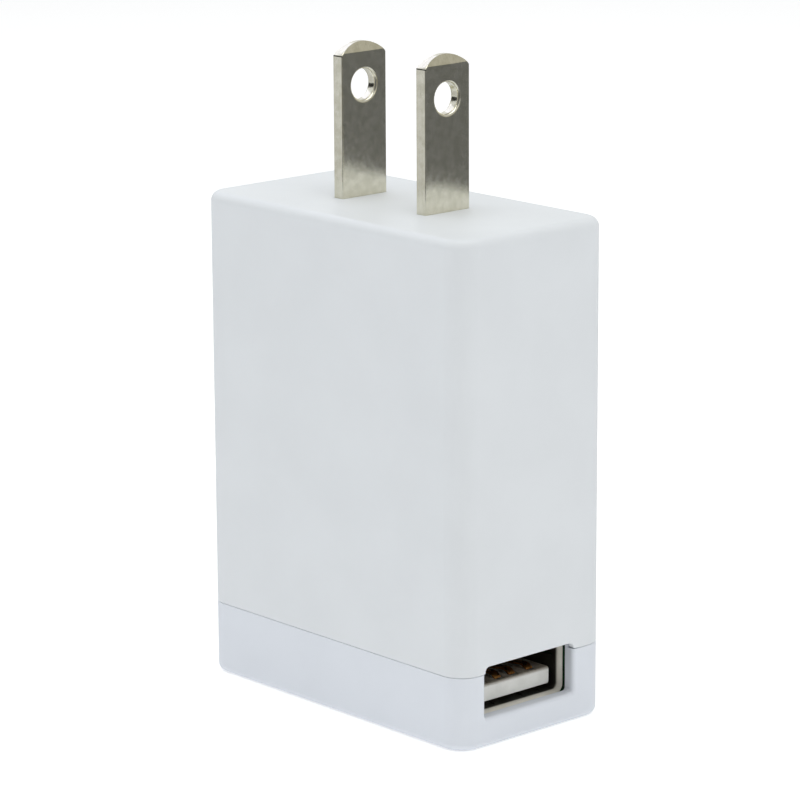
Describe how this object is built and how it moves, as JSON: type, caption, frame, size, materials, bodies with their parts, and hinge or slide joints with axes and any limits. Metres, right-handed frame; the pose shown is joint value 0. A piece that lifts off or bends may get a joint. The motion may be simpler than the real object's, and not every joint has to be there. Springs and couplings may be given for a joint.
{
  "type": "usb wall charger",
  "caption": "Small box-shaped mains adapter with two flat blades on its top face and a USB-A socket low in one narrow side.",
  "frame": {"origin": "centre of the flat base, at the end of the case opposite the blades", "axes": "+Z from the base towards the blades, +X out of the USB socket, Y across the case's thin direction with the circuit board on the +Y side"},
  "size_m": [0.04, 0.0208, 0.069],
  "materials": {
    "white_case": "satin moulded, fine texture",
    "blade_nickel": "polished nickel plate",
    "retainer_plastic": "matte",
    "lead_black": "satin",
    "lead_white": "satin",
    "board_laminate": "solder mask",
    "shell_steel": "nickel-plated sheet",
    "tongue_plastic": "matte",
    "contact_gold": "gold-flashed",
    "core_ferrite": "sintered, matte",
    "choke_ferrite": "matte",
    "bobbin_phenolic": "matte",
    "winding_tape": "polyester tape",
    "capacitor_sleeve": "shrink sleeve",
    "resistor_coat": "cement coat",
    "film_resistor": "lacquer",
    "package_moulding": "epoxy moulding",
    "disc_ceramic": "dipped",
    "sheet_paper": "pressed board"
  },
  "bodies": {
    "charger": {"housing": "white_case", "end_cap": "white_case", "blade_left": "blade_nickel", "blade_right": "blade_nickel", "blade_retainer": "retainer_plastic", "lead_live": "lead_black", "lead_neutral": "lead_white", "main_board": "board_laminate", "usb_shell": "shell_steel", "usb_insulator": "tongue_plastic", "contact_tail_1": "contact_gold", "contact_tail_2": "contact_gold", "contact_tail_3": "contact_gold", "contact_tail_4": "contact_gold", "transformer_core_upper": "core_ferrite", "transformer_core_lower": "core_ferrite", "transformer_bobbin": "bobbin_phenolic", "transformer_winding": "winding_tape", "input_capacitor_1": "capacitor_sleeve", "input_capacitor_2": "capacitor_sleeve", "output_capacitor": "capacitor_sleeve", "input_choke": "choke_ferrite", "fusible_resistor": "resistor_coat", "load_resistor": "film_resistor", "bridge_rectifier": "package_moulding", "controller_ic": "package_moulding", "optocoupler": "package_moulding", "output_diode": "package_moulding", "y_capacitor": "disc_ceramic", "insulation_sheet": "sheet_paper"},
    "contact_1": {"contact_spring_1": "contact_gold"},
    "contact_2": {"contact_spring_2": "contact_gold"},
    "contact_3": {"contact_spring_3": "contact_gold"},
    "contact_4": {"contact_spring_4": "contact_gold"}
  },
  "joints": [
    {"name": "contact_1_flex", "type": "hinge", "parent": "charger", "child": "contact_1", "pos_m": [0.00802, -0.0041, 0.00496], "axis": [0, 1, 0], "range_deg": [0, 3.5], "stiffness_Nm_per_rad": 0.09},
    {"name": "contact_2_flex", "type": "hinge", "parent": "charger", "child": "contact_2", "pos_m": [0.00802, -0.0016, 0.00496], "axis": [0, 1, 0], "range_deg": [0, 3.5], "stiffness_Nm_per_rad": 0.09},
    {"name": "contact_3_flex", "type": "hinge", "parent": "charger", "child": "contact_3", "pos_m": [0.00802, 0.0004, 0.00496], "axis": [0, 1, 0], "range_deg": [0, 3.5], "stiffness_Nm_per_rad": 0.09},
    {"name": "contact_4_flex", "type": "hinge", "parent": "charger", "child": "contact_4", "pos_m": [0.00802, 0.0029, 0.00496], "axis": [0, 1, 0], "range_deg": [0, 3.5], "stiffness_Nm_per_rad": 0.09}
  ]
}
